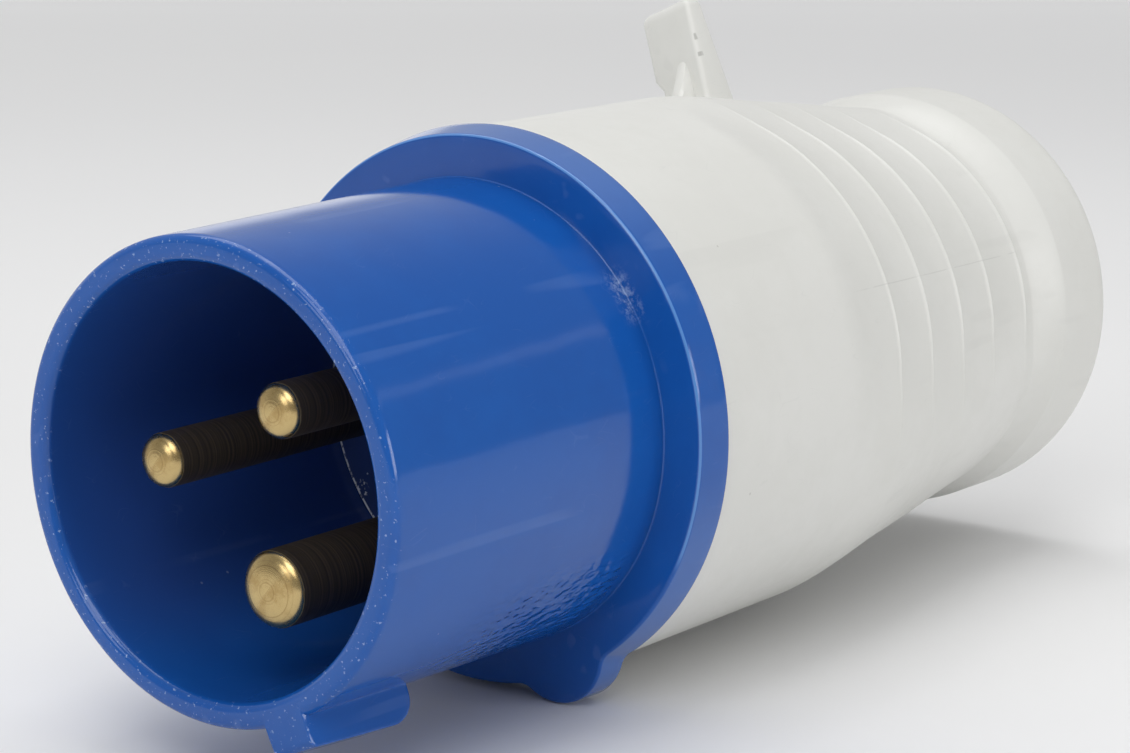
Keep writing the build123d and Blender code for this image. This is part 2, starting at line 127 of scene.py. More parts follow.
# ---- Handle ----
HANDLE_START = FLANGE_BACK
HANDLE_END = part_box("handle")[1].x / MM
BODY_RADIUS = 26.7
BODY_END = 71.0
TAPER = [(71.0, 26.7), (76.0, 26.25), (84.0, 25.1), (91.8, 24.12), (100.0, 22.98), (106.7, 22.1)]
WAIST = 106.7
COLLAR_FRONT = 111.0
COLLAR_RADIUS = 23.2
END_RADIUS = COLLAR_RADIUS + 0.1
COLLAR_ROUND = 3.0
CABLE_OPENING = 10.5
BUSH_BORE = 6.2
HANDLE_SOCKET = 24.5
GRIP_FRONT = 62.0
GRIP_FRONT_SLOPE = [(62.0, 27.6), (64.0, 27.0), (66.5, 26.3), (69.5, 25.85), (72.7, 25.65)]
GRIP_END_SLOPE = [(104.7, 21.65), (107.0, 21.5), (111.0, 24.1)]
GRIP_SECTORS = ((137.0, 200.0), (-20.0, 43.0))
FIRST_CREST = 72.7
RIB_PITCH = 8.0
CREST_RADII = (25.65, 24.45, 23.35, 22.3, 21.65)
HOLLOW_DEPTH = 0.36
RIDGE_HEIGHT = 0.16
RIDGE_REACH = 0.45
PARTING_SLOPE = 0.035                      # how far the mould's parting line lies below the middle
PARTING_START = 64.0

# ---- Lid lug on top of the handle, and the web in front of it ----
LUG_BACK = 91.4
LUG_TOP = 36.9
LUG_FRONT = 86.2                           # where the front face would meet LUG_BASE
LUG_FRONT_AT_TOP = 89.0
LUG_BASE = 23.6
LUG_HALF_WIDTH = 3.35
LUG_NECK = 0.8
LUG_NECK_TOP = 29.6
LUG_NECK_BOTTOM = 28.3
LUG_FOOT_ROUND = 0.9
LUG_FOOT_LEVEL = 24.5
LUG_CORNER = 0.6
LUG_MARKS = ((32.5, 0.45), (30.5, 0.3))    # level and half height of each
WEB_SIDE = -0.8
WEB_HALF_THICKNESS = 0.9
WEB_FRONT = 83.0
WEB_BACK = 88.4
WEB_TOP = 31.4


def place(x, angle, radius):
    """A point of the plug in metres."""
    a = radians(angle)
    return (Vector((x, 0, 0)) + SIDE * (radius * cos(a)) + UP * (radius * sin(a))) * MM


def across(x, side, up):
    """A point of the plug in metres, by its distances to the side and up."""
    return (Vector((x, 0, 0)) + SIDE * side + UP * up) * MM


def spread(start, end, step):
    """Evenly spaced values from start to end, both included, at most a step apart."""
    count = max(1, ceil(abs(end - start) / step - 1e-9))
    return [start + (end - start) * i / count for i in range(count + 1)]


def joined(*stretches):
    """Stretches of values end to end, without the doubled ones."""
    values = []
    for stretch in stretches:
        values += [v for v in stretch if not values or abs(v - values[-1]) > 1e-6]
    return values


def between(a, b, share):
    return a + (b - a) * share


def soft_min(a, b, width):
    """The smaller of two lengths, rounded where they cross."""
    h = max(width - abs(a - b), 0) / width
    return min(a, b) - h * h * width / 4


def soft_max(a, b, width):
    return -soft_min(-a, -b, width)


def on_line(x, points):
    """Height at x of a line through points."""
    for (x0, y0), (x1, y1) in zip(points, points[1:]):
        if x <= x1:
            return between(y0, y1, max(0, x - x0) / (x1 - x0))
    return points[-1][1]


def on_curve(x, points):
    """Height at x of a smooth curve through points, level at its first."""
    slopes = [0.0]
    for (x0, y0), (x1, y1), (x2, y2) in zip(points, points[1:], points[2:]):
        slopes.append((y2 - y0) / (x2 - x0))
    slopes.append((points[-1][1] - points[-2][1]) / (points[-1][0] - points[-2][0]))
    for i, ((x0, y0), (x1, y1)) in enumerate(zip(points, points[1:])):
        if x <= x1:
            length = x1 - x0
            t = (x - x0) / length
            rise = (3 - 2 * t) * t * t
            pull = t * (1 - t) * ((1 - t) * slopes[i] - t * slopes[i + 1]) * length
            return between(y0, y1, rise) + pull
    return points[-1][1]


def ring_mesh(name, rings, closed=True):
    """An object from rings of points round the plug, each ring joined to the next."""
    count = len(rings[0])
    pairs = [(a, a + 1) for a in range(len(rings) - 1)]
    if closed:
        pairs.append((len(rings) - 1, 0))
    faces = []
    for a, b in pairs:
        for i in range(count):
            j = (i + 1) % count
            faces.append((a * count + i, a * count + j, b * count + j, b * count + i))
    if not closed:
        faces.append(tuple(range(count)))
        faces.append(tuple((len(rings) - 1) * count + i for i in range(count)))
    mesh = bpy.data.meshes.new(name)
    mesh.from_pydata([p for ring in rings for p in ring], [], faces)
    return finished_object(name, mesh)


def finished_object(name, mesh, sharp=35):
    """Links a mesh as an object, with normals outwards and edges sharp past an angle."""
    work = bmesh.new()
    work.from_mesh(mesh)
    bmesh.ops.remove_doubles(work, verts=work.verts, dist=1e-7)
    bmesh.ops.recalc_face_normals(work, faces=work.faces)
    for edge in work.edges:
        edge.smooth = edge.calc_face_angle(pi) < radians(sharp)
    for face in work.faces:
        face.smooth = True
    work.to_mesh(mesh)
    work.free()
    obj = bpy.data.objects.new(name, mesh)
    bpy.context.scene.collection.objects.link(obj)
    return obj


# ---- Front shell ----
def shroud_radius(x):
    return on_line(x, [(0, RIM_RADIUS), (FLANGE_FRONT, FOOT_RADIUS)])


def off_nose(angle):
    """How far an angle is from the nose, in radians."""
    return abs(radians((angle - NOSE_ANGLE + 180) % 360 - 180))


def keyed_radius(x, angle):
    """Outside of the shroud with the key on it."""
    base = shroud_radius(x)
    away = off_nose(angle)
    if x > KEY_END or away > radians(12):
        return base
    height = between(KEY_FRONT_HEIGHT, KEY_BACK_HEIGHT, min(x / KEY_ROUND_START, 1))
    width = KEY_HALF_WIDTH
    if x > KEY_ROUND_START:
        bend = sqrt(max(0, 1 - ((x - KEY_ROUND_START) / (KEY_END - KEY_ROUND_START)) ** 2))
        height = between(KEY_END_HEIGHT, KEY_BACK_HEIGHT, bend)
        width = between(KEY_HALF_WIDTH - 0.5, KEY_HALF_WIDTH, sqrt(bend))
    top = height / cos(away)
    flank = width / max(sin(away), 0.01)
    return soft_max(base, soft_min(top, flank, 1.1), 0.45)


def flange_outline(angle, flange, nose, blend):
    """Radius of the flange's outline: a circle and the nose's, joined by hollow arcs."""
    away = off_nose(angle)
    reach = flange + blend
    blend_angle = acos((NOSE_DISTANCE**2 + reach**2 - (nose + blend) ** 2) / (2 * NOSE_DISTANCE * reach))
    if away >= blend_angle:
        return flange
    nose_centre = Vector((NOSE_DISTANCE, 0))
    blend_centre = Vector((cos(blend_angle), sin(blend_angle))) * reach
    touch = nose_centre + (blend_centre - nose_centre).normalized() * nose
    if away >= atan2(touch.y, touch.x):
        turn = away - blend_angle
        return reach * cos(turn) - sqrt(max(0, blend**2 - (reach * sin(turn)) ** 2))
    return NOSE_DISTANCE * cos(away) + sqrt(nose**2 - (NOSE_DISTANCE * sin(away)) ** 2)


def flange_side(x, inset, angle):
    """Radius of the flange's drafted side at x, drawn in by an inset."""
    share = (x - FLANGE_FRONT) / (FLANGE_BACK - FLANGE_FRONT)
    flange = between(FLANGE_FRONT_RADIUS, FLANGE_BACK_RADIUS, share) - inset
    nose = between(NOSE_FRONT_RADIUS, NOSE_BACK_RADIUS, share) - inset
    return flange_outline(angle, flange, nose, NOSE_BLEND + inset)


def quarter(count):
    """Angles of a rounded edge, from one face to the next."""
    return [pi / 2 * i / count for i in range(count + 1)]


def build_front_shell():
    """Shroud with its key, foot, flange with its nose, and the skirt inside the handle."""
    angles = joined(
        spread(-270, -112, 1.5), spread(-112, -97, 0.4), spread(-97, -95, 0.1), spread(-95, -85, 0.5),
        spread(-85, -83, 0.1), spread(-83, -68, 0.4), spread(-68, 88.5, 1.5),
    )
    rim_inner = MOUTH_RADIUS + MOUTH_ROUND
    rings = []

    def ring(x, radius_at):
        rings.append([place(x, a, radius_at(a)) for a in angles])

    for share in (0, 0.5, 1):
        ring(0, lambda a: between(rim_inner, keyed_radius(RIM_ROUND, a) - RIM_ROUND, share))
    for t in quarter(7)[1:]:
        x = RIM_ROUND * (1 - cos(t))
        ring(x, lambda a: keyed_radius(RIM_ROUND, a) - RIM_ROUND * (1 - sin(t)))
    stations = joined(
        spread(RIM_ROUND + 0.4, KEY_ROUND_START, 0.8), spread(KEY_ROUND_START, 12.6, 0.25),
        spread(12.6, KEY_END, 0.08), spread(KEY_END + 0.02, FLANGE_FRONT - FOOT_CORNER, 1.6),
    )
    for x in stations:
        ring(x, lambda a: keyed_radius(x, a))
    corner_start = shroud_radius(FLANGE_FRONT - FOOT_CORNER)
    for t in quarter(8)[1:]:
        x = FLANGE_FRONT - FOOT_CORNER * (1 - sin(t))
        ring(x, lambda a: corner_start + FOOT_CORNER * (1 - cos(t)))
    face_start = corner_start + FOOT_CORNER
    for share in (0.2, 0.5, 0.8, 1):
        ring(
            FLANGE_FRONT,
            lambda a: between(face_start, flange_side(FLANGE_FRONT, FLANGE_ROUND, a), share),
        )
    for t in quarter(6)[1:]:
        x = FLANGE_FRONT + FLANGE_ROUND * (1 - cos(t))
        ring(x, lambda a: flange_side(x, FLANGE_ROUND * (1 - sin(t)), a))
    back_round = 0.25
    for x in spread(FLANGE_FRONT + FLANGE_ROUND + 0.2, FLANGE_BACK - back_round, 0.7):
        ring(x, lambda a: flange_side(x, 0, a))
    for t in quarter(3)[1:]:
        x = FLANGE_BACK - back_round + back_round * sin(t)
        ring(x, lambda a: flange_side(x, back_round * (1 - cos(t)), a))
    # the skirt and its bore, then the cup from its ledge back to the mouth
    skirt = [
        (FLANGE_BACK, SKIRT_RADIUS), (SEAL_GROOVE[0], SKIRT_RADIUS), (SEAL_GROOVE[0], SEAL_GROOVE_RADIUS),
        (SEAL_GROOVE[1], SEAL_GROOVE_RADIUS), (SEAL_GROOVE[1], SKIRT_RADIUS), (BEAD - 1, SKIRT_RADIUS),
        (BEAD - 0.4, BEAD_RADIUS), (BEAD + 0.4, BEAD_RADIUS), (BEAD + 1, SKIRT_RADIUS),
        (SHELL_END, SKIRT_RADIUS),
        (SHELL_END, SKIRT_BORE), (LEDGE, SKIRT_BORE), (LEDGE, LEDGE_BORE),
    ]
    bore = [(MOUTH_ROUND, MOUTH_RADIUS), (LEDGE, LEDGE_BORE)]
    cup = [(x, on_line(x, bore)) for x in spread(LEDGE, MOUTH_ROUND, 2)]
    mouth_edge = []
    for t in reversed(quarter(7)[1:-1]):
        mouth_edge.append((MOUTH_ROUND * (1 - cos(t)), MOUTH_RADIUS + MOUTH_ROUND * (1 - sin(t))))
    for x, radius in skirt + cup[1:] + mouth_edge:
        ring(x, lambda a: radius)
    return ring_mesh("shroud", rings)


# ---- Handle ----
CRESTS = [(FIRST_CREST + i * RIB_PITCH, radius) for i, radius in enumerate(CREST_RADII)]


def smooth_step(value, low, high):
    t = min(1, max(0, (value - low) / (high - low)))
    return t * t * (3 - 2 * t)


def grip_floor(x, strength):
    """Radius of a grip's floor at x: hollows between ridged crests, at a share of their strength."""
    if x < FIRST_CREST:
        radius = on_curve(x, GRIP_FRONT_SLOPE)
    elif x > CRESTS[-1][0]:
        radius = on_curve(x, GRIP_END_SLOPE)
    else:
        radius = on_line(x, CRESTS)
        t = ((x - FIRST_CREST) / RIB_PITCH) % 1
        radius -= strength * 4 * HOLLOW_DEPTH * t * (1 - t)
    for crest, _ in CRESTS:
        radius += strength * RIDGE_HEIGHT * max(0, 1 - abs(x - crest) / RIDGE_REACH) ** 2
    return radius


def plain_handle_radius(x):
    """Outside of the handle without its grips."""
    if x <= BODY_END:
        return BODY_RADIUS
    if x <= WAIST:
        return on_curve(x, TAPER)
    return on_line(x, [(WAIST, TAPER[-1][1]), (COLLAR_FRONT, COLLAR_RADIUS), (HANDLE_END, END_RADIUS)])


def handle_radius(x, angle):
    """Outside of the handle at an angle, with the ribbed grips that run out into it."""
    radius = plain_handle_radius(x)
    if GRIP_FRONT < x < COLLAR_FRONT:
        for start, end in GRIP_SECTORS:
            middle = (start + end) / 2
            beyond = abs((angle - middle + 180) % 360 - 180) - (end - start) / 2
            if beyond < 50:
                strength = 1 - 0.8 * smooth_step(beyond, -8, 18)
                floor = grip_floor(x, strength)
                radius = soft_min(radius, floor / cos(radians(max(0, beyond))), 0.8)
    return radius


def handle_angles():
    """Angles of the handle's columns."""
    return spread(-178.5, 180, 1.5)


def handle_stations():
    """Places along the handle, closer together at the crests and the waist."""
    values = spread(HANDLE_START + 0.4, GRIP_FRONT - 1, 2.4) + spread(GRIP_FRONT, COLLAR_FRONT, 0.5)
    for crest, _ in CRESTS:
        values += [crest + d for d in (-0.45, -0.28, -0.13, 0, 0.13, 0.28, 0.45)]
    values += spread(COLLAR_FRONT + 0.2, HANDLE_END - COLLAR_ROUND, 0.8) + [WAIST, COLLAR_FRONT - 0.2]
    kept = []
    for x in sorted(values):
        if not kept or x - kept[-1] > 0.06:
            kept.append(x)
    return kept


def build_handle():
    """Handle with ribbed side grips, waist, collar and the opening for the cable."""
    angles = handle_angles()
    rings = []

    def ring(x, radius_at):
        rings.append([place(x, a, radius_at(a)) for a in angles])

    front_edge = 0.4
    ring(HANDLE_START, lambda a: HANDLE_SOCKET)
    for t in quarter(3):
        ring(HANDLE_START + front_edge * (1 - cos(t)), lambda a: BODY_RADIUS - front_edge * (1 - sin(t)))
    for x in handle_stations()[1:]:
        ring(x, lambda a: handle_radius(x, a))
    for t in quarter(8)[1:]:
        ring(HANDLE_END - COLLAR_ROUND * (1 - sin(t)), lambda a: END_RADIUS - COLLAR_ROUND * (1 - cos(t)))
    edge = 0.6
    for radius in (18, 15, CABLE_OPENING + edge + 1):
        ring(HANDLE_END, lambda a: radius)
    for t in quarter(4):
        ring(HANDLE_END - edge * (1 - cos(t)), lambda a: CABLE_OPENING + edge * (1 - sin(t)))
    inside = [
        (HANDLE_END - 3, CABLE_OPENING), (HANDLE_END - 3, 19), (92, 19),    # behind the clamp
        (92, 18.7), (89, 18.7),                                             # seat of the clamp's ring
        (89, 20.9), (70, 23), (53, 23.6),                                   # room for the cores
        (53, HANDLE_SOCKET), (BEAD + 1.1, HANDLE_SOCKET),                   # round the shell's skirt
        (BEAD + 0.5, 25.05), (BEAD - 0.5, 25.05), (BEAD - 1.1, HANDLE_SOCKET),
    ]
    for x, radius in inside:
        ring(x, lambda a: radius)
    return ring_mesh("handle_body", rings)


def handle_top(x, side):
    """Height of the handle's plain surface over the axis, above a place beside it."""
    return sqrt(plain_handle_radius(x) ** 2 - side**2)


def foot_flare(height, round_radius):
    """How far a wall stands out at a height over its foot, where it meets a surface in an arc."""
    if height >= round_radius:
        return 0.0
    drop = round_radius - max(0, height)
    return round_radius - sqrt(max(0, round_radius**2 - drop**2))


def rounded_outline(x0, x1, side0, side1, corner, steps=4):
    """Points round a rectangle with round corners."""
    corner = min(corner, 0.49 * (x1 - x0))
    points = []
    corners = ((x1, side1, 0), (x0, side1, 90), (x0, side0, 180), (x1, side0, 270))
    for x, side, turn in corners:
        cx = x - corner if x == x1 else x + corner
        cs = side - corner if side == side1 else side + corner
        for i in range(steps + 1):
            a = radians(turn + 90 * i / steps)
            points.append((cx + corner * cos(a), cs + corner * sin(a)))
    return points


def lug_front(level):
    return on_line(level, [(LUG_BASE, LUG_FRONT), (LUG_TOP, LUG_FRONT_AT_TOP)])


def build_lug():
    """The lug that holds a socket's lid: a leaning front, a neck low on one side, a flared foot."""
    rings = []
    for height in (-0.4, 0, 0.05, 0.15, 0.3, 0.5, 0.7, 0.9):
        flare = foot_flare(height, LUG_FOOT_ROUND)
        neck = LUG_NECK * min(1, max(0, height))
        outline = rounded_outline(
            lug_front(LUG_FOOT_LEVEL + height) - flare, LUG_BACK + flare,
            -LUG_HALF_WIDTH - flare, LUG_HALF_WIDTH - neck + flare, LUG_CORNER + flare,
        )
        rings.append([across(x, side, handle_top(x, side) + height) for x, side in outline])
    for level in (26.2, 27.2, LUG_NECK_BOTTOM, 28.9, LUG_NECK_TOP, 30.6, 32.6, 34.4):
        neck = LUG_NECK * on_line(level, [(LUG_NECK_BOTTOM, 1), (LUG_NECK_TOP, 0)])
        outline = rounded_outline(
            lug_front(level), LUG_BACK, -LUG_HALF_WIDTH, LUG_HALF_WIDTH - neck, LUG_CORNER,
        )
        rings.append([across(x, side, level) for x, side in outline])
    top_round = 1.0
    for t in quarter(6):
        level = LUG_TOP - top_round * (1 - sin(t))
        inset = top_round * (1 - cos(t))
        outline = rounded_outline(
            lug_front(level) + 0.6 * inset, LUG_BACK - inset,
            -LUG_HALF_WIDTH + inset, LUG_HALF_WIDTH - 0.7 * inset, LUG_CORNER - 0.05,
        )
        rings.append([across(x, side, level) for x, side in outline])
    return ring_mesh("handle_lug", rings, closed=False)


def build_web():
    """Three-cornered web that stiffens the lug in front."""
    profiles = []
    for x in spread(WEB_FRONT, WEB_BACK, 0.4):
        surface = handle_top(x, WEB_SIDE)
        top = max(surface + 0.02, between(surface, WEB_TOP, (x - WEB_FRONT) / (WEB_BACK - WEB_FRONT)))
        height = top - surface
        half = WEB_HALF_THICKNESS
        flare = min(0.7, height * 0.6)
        flank = []
        for h in (0, 0.15 * height, 0.4 * height):
            flank.append((half + foot_flare(h, flare) if flare > 0 else half, h))
        crown = [(half - 0.05, 0.8 * height), (half - 0.3, 0.96 * height), (half * 0.3, height)]
        right = [(half + flare, -0.3)] + flank + crown
        profile = right + [(-s, h) for s, h in reversed(right)]
        profiles.append([across(x, WEB_SIDE + s, surface + h) for s, h in profile])
    return ring_mesh("handle_web", profiles, closed=False)


def join_pieces(name, *pieces):
    """One object from several meshes."""
    work = bmesh.new()
    for piece in pieces:
        work.from_mesh(piece.data)
        bpy.data.objects.remove(piece)
    mesh = bpy.data.meshes.new(name)
    work.to_mesh(mesh)
    work.free()
    obj = bpy.data.objects.new(name, mesh)
    bpy.context.scene.collection.objects.link(obj)
    return obj


# ---- Pins ----
def build_pin(name, mount, node):
    """A turned contact pin with a domed tip, its root in the carrier and its terminal barrel."""
    low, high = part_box(node)
    _, y, z = MOUNTS[mount]["pos_m"]
    radius = MOUNTS[mount]["dims"]["r_mm"]
    tip, end = low.x / MM, high.x / MM
    barrel = (high.z - low.z) / 2 / MM
    floor, shoulder = CUP_FLOOR - tip, PIN_SHOULDER - tip
    profile = [(x, share * radius) for x, share in PIN_DOME] + [(x, radius) for x in spread(2, floor, 3)]
    profile += [(floor, radius + ROOT_STEP), (shoulder, radius + ROOT_STEP), (shoulder, barrel - 0.2)]
    profile += [(shoulder + 0.2, barrel), (end - tip - 0.2, barrel), (end - tip, barrel - 0.2)]
    profile += [(end - tip, WIRE_HOLE), (end - tip - WIRE_DEPTH, WIRE_HOLE), (end - tip - WIRE_DEPTH, 0)]
    count = 72
    rings = []
    for x, r in profile:
        turn = [2 * pi * i / count for i in range(count)]
        rings.append([Vector((x, r * cos(a), r * sin(a))) * MM for a in turn])
    pin = ring_mesh(name, rings, closed=False)
    pin.location = (low.x, y, z)
    # hole for the terminal screw, square to the axis and facing away from the plug's middle
    drill = ring_mesh(name + "_drill", [
        [Vector((r * cos(a), r * sin(a), h)) * MM for a in (2 * pi * i / 32 for i in range(32))]
        for h, r in ((0, SCREW_HOLE), (barrel + 1, SCREW_HOLE))
    ], closed=False)
    outward = Vector((0, y, z)).normalized()
    drill.rotation_euler = outward.to_track_quat("Z", "X").to_euler()
    drill.location = (TERMINAL_SCREW * MM, y, z)
    cut = pin.modifiers.new("screw hole", "BOOLEAN")
    cut.object = drill
    cut.solver = "EXACT"
    bpy.context.view_layer.update()
    evaluated = pin.evaluated_get(bpy.context.evaluated_depsgraph_get())
    mesh = bpy.data.meshes.new_from_object(evaluated)
    location = pin.location.copy()
    bpy.data.objects.remove(pin)
    bpy.data.objects.remove(drill)
    drilled = finished_object(name, mesh)
    drilled.location = location
    return drilled


# ---- Bush at the cable end ----
def build_bush():
    """Rubber bush with a rounded lip round the cable's hole."""
    low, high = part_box("cable_bush")
    start, end = low.x / MM, high.x / MM
    seat = HANDLE_END - 3
    lip = end - 0.5
    profile = [(start, BUSH_BORE + 1.5), (start, 18.9), (seat, 18.9), (seat, CABLE_OPENING - 0.1)]
    profile += [(lip - 0.3, CABLE_OPENING - 0.1)]
    for t in quarter(5)[1:]:
        profile.append((lip - 0.3 + 0.8 * sin(t), CABLE_OPENING - 0.1 - 0.8 * (1 - cos(t))))
    inner = CABLE_OPENING - 2.1
    for t in quarter(6):
        profile.append((end - 1.6 * (1 - cos(t)), inner - 1.7 * sin(t)))
    profile += [(end - 2.8, BUSH_BORE), (start + 3, BUSH_BORE)]
    angles = spread(0, 357, 3)
    return ring_mesh("cable_bush_lip", [[place(x, a, r) for a in angles] for x, r in profile])


# ---- Node trees ----
def put(tree, kind, values=None, **settings):
    """A node with its settings, and with its inputs set to values or linked to sockets."""
    made = tree.nodes.new(kind)
    for name, setting in settings.items():
        setattr(made, name, setting)
    for key, value in (values or {}).items():
        if isinstance(value, bpy.types.NodeSocket):
            tree.links.new(value, made.inputs[key])
        else:
            made.inputs[key].default_value = value
    return made


def calc(tree, operation, *values):
    """One step of arithmetic on values."""
    made = put(tree, "ShaderNodeMath", dict(enumerate(values)), operation=operation)
    return made.outputs[0]


def product(tree, first, *others):
    """Values multiplied with each other."""
    for other in others:
        first = calc(tree, "MULTIPLY", first, other)
    return first


def vector_step(tree, operation, first, second):
    """One step of arithmetic on two vectors, as a vector."""
    return put(tree, "ShaderNodeVectorMath", {0: first, 1: second}, operation=operation).outputs[0]


def apart(tree, value, middle):
    """How far a value is from a middle, without its sign."""
    return calc(tree, "ABSOLUTE", calc(tree, "SUBTRACT", value, middle))


def blended(tree, share, first, second):
    """A colour between two others."""
    made = put(tree, "ShaderNodeMix", {0: share, 6: first, 7: second}, data_type="RGBA")
    return made.outputs[2]


def ramp(tree, value, low, high, to_low=0.0, to_high=1.0):
    """A value eased from one range into another."""
    values = {"Value": value, "From Min": low, "From Max": high, "To Min": to_low, "To Max": to_high}
    return put(tree, "ShaderNodeMapRange", values, interpolation_type="SMOOTHSTEP").outputs["Result"]


def noise(tree, place_socket, scale, detail=3.0, roughness=0.5):
    values = {"Vector": place_socket, "Scale": scale, "Detail": detail, "Roughness": roughness}
    return put(tree, "ShaderNodeTexNoise", values).outputs["Fac"]


def millimetres(tree, stretch=(1, 1, 1)):
    """Place on the plug, in millimetres along x, side and up, each times its stretch."""
    place_socket = put(tree, "ShaderNodeTexCoord").outputs["Object"]
    values = {"Vector": place_socket, "Angle": TURN}
    turned = put(tree, "ShaderNodeVectorRotate", values, rotation_type="X_AXIS").outputs[0]
    return vector_step(tree, "MULTIPLY", turned, [factor / MM for factor in stretch])


def plug_parts(tree):
    """Place on the plug in millimetres, as its x, side and up."""
    return put(tree, "ShaderNodeSeparateXYZ", {0: millimetres(tree)}).outputs


def off_axis(tree, first, second):
    """Distance from an axis, from the two distances square to it."""
    squares = calc(tree, "MULTIPLY_ADD", first, first, calc(tree, "MULTIPLY", second, second))
    return calc(tree, "SQRT", squares)


def new_group(name, inputs, outputs):
    """An empty node group with its sockets, and its input and output nodes."""
    group = bpy.data.node_groups.new(name, "ShaderNodeTree")
    for label, kind, value in inputs:
        group.interface.new_socket(label, in_out="INPUT", socket_type=kind).default_value = value
    for label, kind in outputs:
        group.interface.new_socket(label, in_out="OUTPUT", socket_type=kind)
    return group, group.nodes.new("NodeGroupInput").outputs, group.nodes.new("NodeGroupOutput").inputs


FLOAT, COLOUR = "NodeSocketFloat", "NodeSocketColor"


def make_moulded_skin():
    """Skin of moulded plastic: a fine grain, slow waves, and a colour that isn't quite even."""
    group, given, result = new_group(
        "moulded skin",
        [("Colour", COLOUR, (0.5, 0.5, 0.5, 1)), ("Second colour", COLOUR, (0.4, 0.4, 0.4, 1)),
         ("Unevenness", FLOAT, 0.5), ("Grain per mm", FLOAT, 5.0)],
        [("Colour", COLOUR), ("Gloss change", FLOAT), ("Grain", FLOAT), ("Waves", FLOAT)],
    )
    where = millimetres(group)
    clouds = noise(group, where, 0.055, 2)
    patches = noise(group, where, 0.4, 2, 0.6)
    grain = noise(group, where, given["Grain per mm"], 1, 0.6)
    waves = noise(group, where, 0.22, 0)
    uneven = calc(group, "MULTIPLY", ramp(group, calc(group, "ADD", clouds, calc(
        group, "MULTIPLY", patches, 0.35)), 0.5, 0.85), given["Unevenness"])
    link = group.links.new
    link(blended(group, uneven, given["Colour"], given["Second colour"]), result["Colour"])
    link(calc(group, "SUBTRACT", patches, 0.5), result["Gloss change"])
    link(grain, result["Grain"])
    link(waves, result["Waves"])
    return group


def make_handling_marks():
    """Marks of handling: short hair scratches, and specks of dust and lint."""
    group, given, result = new_group(
        "handling marks",
        [("Scratches", FLOAT, 0.5), ("Specks", FLOAT, 0.5), ("Speck spacing mm", FLOAT, 4.0)],
        [("Scratches", FLOAT), ("Specks", FLOAT)],
    )
    where = millimetres(group)
    scratch = None
    for turn, spacing in ((0.35, 5.5), (-0.6, 7.0)):
        values = {"Vector": where, "Axis": (0.5, 0.3, 0.8), "Angle": turn}
        turned = put(group, "ShaderNodeVectorRotate", values, rotation_type="AXIS_ANGLE").outputs[0]
        drawn = vector_step(group, "MULTIPLY", turned, (0.1, 1, 1))
        line = ramp(group, apart(group, noise(group, drawn, 3.2 / spacing, 0), 0.5), 0.006, 0.002)
        scratch = line if scratch is None else calc(group, "MAXIMUM", scratch, line)
    scratch = calc(group, "MULTIPLY", scratch, ramp(group, noise(group, where, 0.5, 1), 0.56, 0.66))
    spaced = vector_step(group, "DIVIDE", where, given["Speck spacing mm"])
    cells = put(group, "ShaderNodeTexVoronoi", {"Vector": spaced, "Scale": 1.0}, feature="F1")
    pick = put(group, "ShaderNodeSeparateColor", {0: cells.outputs["Color"]})
    size = calc(group, "MULTIPLY", pick.outputs[1], 0.05)
    chosen = calc(group, "GREATER_THAN", pick.outputs[0], 0.45)
    near = calc(group, "LESS_THAN", cells.outputs["Distance"], size)
    specks = calc(group, "MULTIPLY", near, chosen)
    group.links.new(calc(group, "MULTIPLY", scratch, given["Scratches"]), result["Scratches"])
    group.links.new(calc(group, "MULTIPLY", specks, given["Specks"]), result["Specks"])
    return group


def make_flow_lines():
    """Faint lines that the plastic's flow leaves along the moulding."""
    group, given, result = new_group(
        "flow lines", [("Lines per mm", FLOAT, 0.5)], [("Lines", FLOAT)],
    )
    where = millimetres(group, (0.02, 1, 1))
    lines = noise(group, where, given["Lines per mm"], 1, 0.5)
    along = noise(group, millimetres(group, (0.3, 0.5, 0.5)), 0.25, 1)
    narrow = calc(group, "MULTIPLY", ramp(group, lines, 0.62, 0.7), ramp(group, along, 0.45, 0.6))
    group.links.new(narrow, result["Lines"])
    return group


def make_turning_marks():
    """Marks that a lathe leaves: fine rings round an object's own x axis."""
    group, given, result = new_group(
        "turning marks", [("Rings per mm", FLOAT, 8.0)], [("Rings", FLOAT), ("Smears", FLOAT)],
    )
    own = put(group, "ShaderNodeTexCoord").outputs["Object"]
    parts = put(group, "ShaderNodeSeparateXYZ", {0: own}).outputs
    reach = off_axis(group, parts[1], parts[2])
    travel = calc(group, "SUBTRACT", calc(group, "MULTIPLY", parts[0], 0.8), reach)
    travel = calc(group, "DIVIDE", travel, MM)
    turned = calc(group, "MULTIPLY", travel, given["Rings per mm"])
    values = {"W": turned, "Scale": 1.0, "Detail": 3.0}
    rings = put(group, "ShaderNodeTexNoise", values, noise_dimensions="1D")
    stretched = vector_step(group, "MULTIPLY", own, [1 / MM, 0.5 / MM, 0.5 / MM])
    smears = noise(group, stretched, 1.1, 4, 0.65)
    group.links.new(rings.outputs["Fac"], result["Rings"])
    group.links.new(smears, result["Smears"])
    return group


# A turn about x that lays the side and up directions along y and z
TURN = -atan2(SIDE.z, SIDE.y)
MOULDED_SKIN = make_moulded_skin()
HANDLING_MARKS = make_handling_marks()
FLOW_LINES = make_flow_lines()
TURNING_MARKS = make_turning_marks()


def use(tree, group, **values):
    """A node of a shared group. Names of inputs are written with _ for each space."""
    made = tree.nodes.new("ShaderNodeGroup")
    made.node_tree = group
    for key, value in values.items():
        name = key.replace("_", " ")
        if isinstance(value, bpy.types.NodeSocket):
            tree.links.new(value, made.inputs[name])
        else:
            made.inputs[name].default_value = value
    return made.outputs


